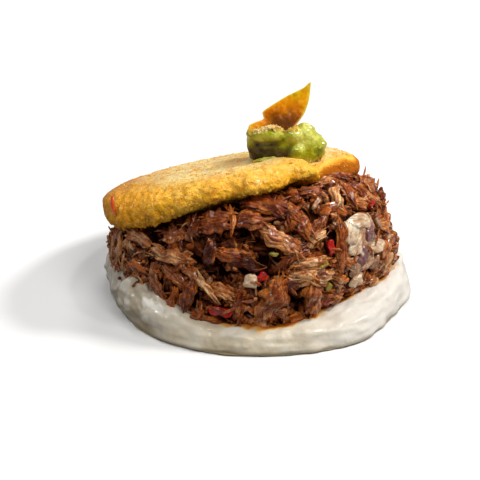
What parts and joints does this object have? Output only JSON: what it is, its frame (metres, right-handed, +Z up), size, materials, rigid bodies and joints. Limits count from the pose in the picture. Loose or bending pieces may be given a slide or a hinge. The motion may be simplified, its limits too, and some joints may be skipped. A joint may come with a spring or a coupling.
{
  "type": "stuffed arepa",
  "caption": "Fried corn cake split as a pocket and stuffed with shredded beef, onion and pepper, on a bed of thick cream, topped with guacamole and a corn chip.",
  "frame": {"origin": "centre of the cream bed's underside, on the surface the food stands on", "axes": "+Z up, -Y towards the open side of the pocket, +X to the right of that side"},
  "size_m": [0.1114, 0.1089, 0.0782],
  "materials": {
    "cake": "matte fried corn dough",
    "cream": "soft gloss thick cream",
    "beef": "moist shredded meat",
    "onion": "wet raw onion",
    "red_onion": "wet raw red onion",
    "pepper": "wet red pepper",
    "guacamole": "glossy avocado paste",
    "chip": "fried corn chip"
  },
  "bodies": {
    "root": {"corn_cake": "cake", "cream_bed": "cream", "shredded_beef": "beef", "guacamole": "guacamole", "corn_chip": "chip", "onion_petal_1": "onion", "onion_petal_2": "onion", "onion_petal_3": "onion", "onion_petal_4": "onion", "red_onion_1": "red_onion", "red_onion_2": "red_onion", "onion_cube_1": "onion", "onion_cube_2": "onion", "red_pepper_1": "pepper", "red_pepper_2": "pepper", "red_pepper_3": "pepper", "red_pepper_4": "pepper", "red_pepper_5": "pepper"}
  },
  "joints": []
}
